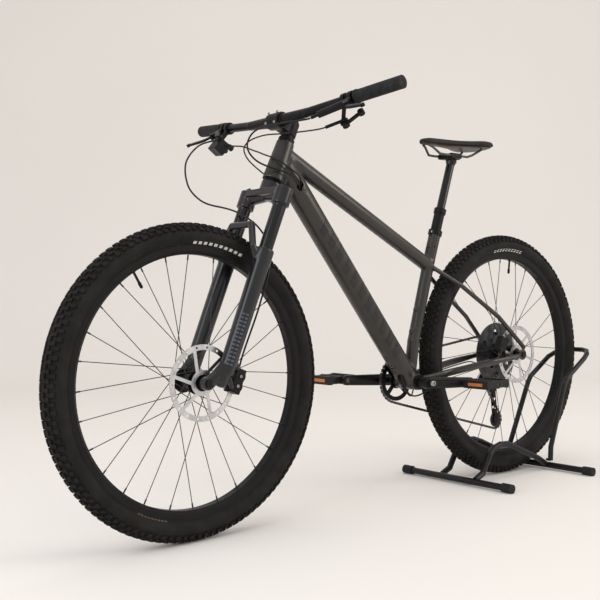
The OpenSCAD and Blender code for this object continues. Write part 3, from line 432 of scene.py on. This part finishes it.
def tube_patch(name, start, end, radius, turns_deg, slant, zero, look, body):
    """A thin mark on a tube from start to end, between two turns round it, leaning by slant."""
    along = (end - start).normalized()
    side = along.cross(zero).normalized()
    verts, faces, steps = [], [], 10
    for i in range(steps + 1):
        part = i / steps
        a = math.radians(turns_deg[0] + (turns_deg[1] - turns_deg[0]) * part)
        out = radius * (math.cos(a) * zero + math.sin(a) * side)
        for edge in (start, end):
            verts.append(edge + along * (slant * (part - 0.5)) + out)
    for i in range(steps):
        faces.append((2 * i, 2 * i + 1, 2 * i + 3, 2 * i + 2))
    return piece(name, verts, faces, look, body)


def down_tube_bars():
    """Slanted bars along the left of the down tube, a shade darker than its paint."""
    low, high = bike(428, 0, 317), bike(882, 0, 897)
    step = (high - low) / 17.5
    for i in range(11):
        start = low + step * (2.6 + i)
        tube_patch(f"down_tube_bar_{i}", start, start + step * 0.55, 31.7 * MM, (-40, 30),
                   0.014, Vector((0, 1, 0)), MARK_DARK, "frame")


def fork_dashes():
    """Two columns of short dashes on the left fork leg, towards the camera."""
    for column, first in ((0, 38), (1, 64)):
        for row in range(14):
            t = 0.055 + row * 0.0095
            tube_patch(f"fork_dash_{column}_{row}", on_steer(t, 0.008, 0.071),
                       on_steer(t + 0.0045, 0.008, 0.071), (20.3 + t * 7) * MM,
                       (first, first + 20), 0.0, STEER_AHEAD, MARK_BLUE, "fork_lowers")


def block(name, center, size, look, body, ease=1.2):
    """A block with eased edges; size and ease are in millimetres."""
    work = bmesh.new()
    bmesh.ops.create_cube(work, size=1)
    for v in work.verts:
        v.co = center + Vector([v.co[i] * size[i] * MM for i in range(3)])
    bmesh.ops.bevel(work, geom=work.edges[:], offset=ease * MM, segments=2, affect="EDGES",
                    profile=0.5)
    mesh = bpy.data.meshes.new(name)
    work.to_mesh(mesh)
    work.free()
    mesh.materials.append(look)
    o = bpy.data.objects.new(name, mesh)
    bpy.context.collection.objects.link(o)
    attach(o, body)
    return o


def pedal_reflectors():
    for side in ("left", "right"):
        low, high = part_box(side + "_pedal")
        middle = (low[1] + high[1]) / 2
        for end, x in (("front", high[0]), ("back", low[0])):
            block(f"{side}_{end}_reflector", Vector((x, middle, (low[2] + high[2]) / 2)),
                  (5, 50, 9), AMBER, side + "_pedal", 1.0)


def seat_collar():
    bend, up = bike(338, 0, 660), Vector((-0.3305, 0, 0.9438))
    lathe("seat_collar", bend + up * 0.080, up,
          [(0, 0.0177), (0.0005, 0.0203), (0.014, 0.0203), (0.015, 0.0177)],
          LOOK["black_alloy"], "frame", 48, ring=True)
    bolt_head("seat_collar_bolt", bend + up * 0.087 + Vector((0.0195, 0.004, 0.004)),
              Vector((0, 1, 0)), 0.0032, "frame")


def steering_bolts():
    face = reach("stem", STEER_AHEAD) - STEER_FOOT.dot(STEER_AHEAD)
    for t in (0.676, 0.704):
        for y in (-0.017, 0.017):
            bolt_head(f"faceplate_bolt_{t}_{y}".replace("-", "r"), on_steer(t, face - 0.003, y),
                      STEER_AHEAD, 0.0034, "steering")


def caliper_bolts():
    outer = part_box("front_brake_caliper")[1][1]
    for t in (0.022, 0.046):
        bolt_head(f"front_caliper_bolt_{t}", on_steer(t, -0.040, outer - 0.001),
                  Vector((0, 1, 0)), 0.0038, "fork_lowers")


def crank_bolts():
    for side, sign in (("left", 1), ("right", -1)):
        low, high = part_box(side + "_crank_arm")
        y = reach(side + "_crank_arm", Vector((0, sign, 0))) * sign
        bolt_head(side + "_crank_bolt", Vector((REAR_AXLE.x + 0.428, y - sign * 0.001, 0.317)),
                  Vector((0, sign, 0)), 0.0075, NODE_BODY[side + "_crank_arm"])


# ---- saddle --------------------------------------------------------------------------

# distance behind the nose, half width, and height of the cover over its base, in millimetres
SADDLE_STATIONS = ((0, 3, 8), (2, 9, 11), (8, 15, 14), (26, 18.5, 17), (64, 21, 18),
                   (112, 27.5, 18), (150, 37, 18.5), (184, 53, 19.5), (208, 66, 21),
                   (226, 71, 22), (242, 70, 22), (254, 62, 21), (260, 46, 18), (262, 24, 14))


def saddle_form(name, squeeze, drop, look):
    low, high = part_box("saddle_pad")
    around, verts, faces = 40, [], []
    for behind, half, tall in SADDLE_STATIONS:
        for k in range(around):
            a = 2 * math.pi * k / around
            c, d = math.cos(a), math.sin(a)
            y = half * squeeze * math.copysign(abs(c) ** 0.7, c)
            z = (tall - 4) * abs(d) ** 0.75 if d > 0 and squeeze == 1 else 3 * d
            verts.append((high[0] - (behind * 0.985 + 1) * MM, y * MM, low[2] + (4 - drop + z) * MM))
    n = len(SADDLE_STATIONS)
    for i in range(n - 1):
        for k in range(around):
            m = (k + 1) % around
            faces.append((i * around + k, (i + 1) * around + k, (i + 1) * around + m, i * around + m))
    faces.append(tuple(range(around)))
    faces.append(tuple((n - 1) * around + k for k in range(around - 1, -1, -1)))
    o = piece(name, verts, faces, look, None)
    work = bmesh.new()
    work.from_mesh(o.data)
    bmesh.ops.recalc_face_normals(work, faces=work.faces)
    work.to_mesh(o.data)
    work.free()
    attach(o, NODE_BODY["saddle_pad"])
    return o


def saddle():
    cover = saddle_form("saddle_cover", 1, 0, LOOK["saddle_cover"])
    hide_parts("saddle_pad")
    saddle_form("saddle_shell", 0.86, 3.5, SHELL)


# ---- main ----------------------------------------------------------------------------

add_camera()
tyre("front", FRONT_AXLE, "front_wheel")
tyre("rear", REAR_AXLE, "rear_wheel")
valve("front", FRONT_AXLE, "front_wheel", 60)
valve("rear", REAR_AXLE, "rear_wheel", 98)

STAY_TOPS = [bike(412, 27, 324), bike(335, 47, 337), bike(150, 64, 358), bike(50, 73.2, 364.5)]
stay_rods = [(a, b, 0.0078) for a, b in zip(STAY_TOPS, STAY_TOPS[1:])]
stay_rods += [(Vector((a.x, -a.y, a.z)), Vector((b.x, -b.y, b.z)), r) for a, b, r in stay_rods]
cast("frame", 0.0024, 8, rods=stay_rods)
crown_rods = [(on_steer(0.503, 0.002), on_steer(0.492, 0.008, y), 0.0155) for y in (-0.071, 0.071)]
crown = cast("fork_crown_assembly", 0.0015, 6, LOOK["fork_black"], crown_rods)
crown.data.materials.append(STANCHION)
for f in crown.data.polygons:
    if (f.center - STEER_FOOT).dot(STEER_UP) < 0.467:
        f.material_index = 1
printed_run("front_tyre_mark", FRONT_AXLE, "front_wheel", (89, 115), 10, 128, 15, MARK_WHITE)
printed_run("rear_tyre_mark", REAR_AXLE, "rear_wheel", (78, 103), 10, 126, 18, MARK_WHITE)
printed_run("front_tyre_low_mark", FRONT_AXLE, "front_wheel", (-75, -60), 9, 137, 8, MARK_BROWN)
down_tube_bars()
fork_dashes()
pedal_reflectors()
seat_collar()
steering_bolts()
caliper_bolts()
crank_bolts()
saddle()

foot_rods = []
for y in (-0.071, 0.071):
    inner = y * 0.93
    foot_rods += [(on_steer(0.075, 0.008, y), on_steer(0.018, 0.012, y), 0.0165),
                  (on_steer(0.060, 0.014, y), on_steer(0.004, 0.036, inner), 0.0135)]
cast("fork_lowers", 0.0018, 7, rods=foot_rods)
for side, sign in (("left", 1), ("right", -1)):
    pedal = JOINTS[side + "_pedal_spin"]["pos_m"]
    hub_y, end_y = sign * 0.074, sign * 0.081
    arm_rods = [(Vector((REAR_AXLE.x + 0.428, hub_y, 0.317 + lift)),
                 Vector((pedal[0], end_y, pedal[2] + lift * 0.7)), 0.0078)
                for lift in (-0.0095, 0.0, 0.0095)]
    cast(side + "_crank_arm", 0.0015, 7, rods=arm_rods)

for node, voxel, rounds in (
                            ("stem", 0.0015, 6), ("left_brake_lever_body", 0.0010, 6),
                            ("right_brake_lever_body", 0.0010, 6), ("left_brake_blade", 0.0007, 5),
                            ("right_brake_blade", 0.0007, 5), ("shifter_body", 0.0012, 6),
                            ("front_brake_caliper", 0.0012, 5), ("rear_brake_caliper", 0.0012, 5),
                            ("left_pedal", 0.0013, 4), ("right_pedal", 0.0013, 4),
                            ("saddle_clamp", 0.0012, 4), ("derailleur_knuckle", 0.0009, 4)):
    cast(node, voxel, rounds)
for node in ("rear_brake_hose", "shift_cable", "dropper_cable"):
    hose(node)
hose("front_brake_hose")

for node, o in frame["nodes"].items():
    if o.hide_render:
        continue
    look = STANCHION if node == "dropper_inner_post" else LOOK[SLOT[node]]
    for s in o.material_slots:
        s.material = look


# ---- stage ---------------------------------------------------------------------------

def backdrop():
    """A pale floor that sweeps up into a wall behind the bicycle, as seen from the camera."""
    verts, faces, wide = [], [], 14.0
    profile = [(-8, 0), (3.0, 0)]
    profile += [(3.0 + 2.0 * math.sin(a), 2.0 - 2.0 * math.cos(a))
                for a in (math.radians(6 * i) for i in range(1, 16))]
    profile += [(5.0, 9.0)]
    away = Vector((math.cos(math.radians(-130)), math.sin(math.radians(-130)), 0))
    side = Vector((-away.y, away.x, 0))
    for along, up in profile:
        for s in (-1, 1):
            verts.append(away * along + side * (s * wide) + Vector((0, 0, up)))
    for i in range(len(profile) - 1):
        faces.append((2 * i, 2 * i + 1, 2 * i + 3, 2 * i + 2))
    look = material("paper", (0.86, 0.83, 0.80), 0, 0.95, (0.7, 0.01), (60, 0.02))
    mesh = bpy.data.meshes.new("paper")
    mesh.from_pydata([tuple(v) for v in verts], [], faces)
    for f in mesh.polygons:
        f.use_smooth = True
    mesh.materials.append(look)
    o = bpy.data.objects.new("paper_sweep", mesh)
    bpy.context.collection.objects.link(o)


def lamp(name, at, target, size, power, tint=(1, 1, 1)):
    data = bpy.data.lights.new(name, "AREA")
    data.shape, data.size, data.energy, data.color = "DISK", size, power, tint
    o = bpy.data.objects.new(name, data)
    bpy.context.collection.objects.link(o)
    o.location = at
    o.rotation_euler = (Vector(target) - Vector(at)).to_track_quat("-Z", "Y").to_euler()


backdrop()
lamp("overhead", (0.2, 0.4, 4.2), (0, 0, 0.4), 4.5, 36, (1, 0.985, 0.96))
lamp("left_soft", (-2.6, 3.4, 2.4), (0, 0, 0.6), 2.6, 66, (1, 0.95, 0.88))
lamp("front_soft", (3.6, 0.2, 2.0), (0.2, 0, 0.6), 2.4, 40, (0.93, 0.96, 1))
world = bpy.data.worlds.new("studio")
bpy.context.scene.world = world
world.use_nodes = True
world.node_tree.nodes["Background"].inputs["Color"].default_value = (0.93, 0.91, 0.89, 1)
world.node_tree.nodes["Background"].inputs["Strength"].default_value = 0.80
bpy.context.scene.view_settings.view_transform = "Standard"
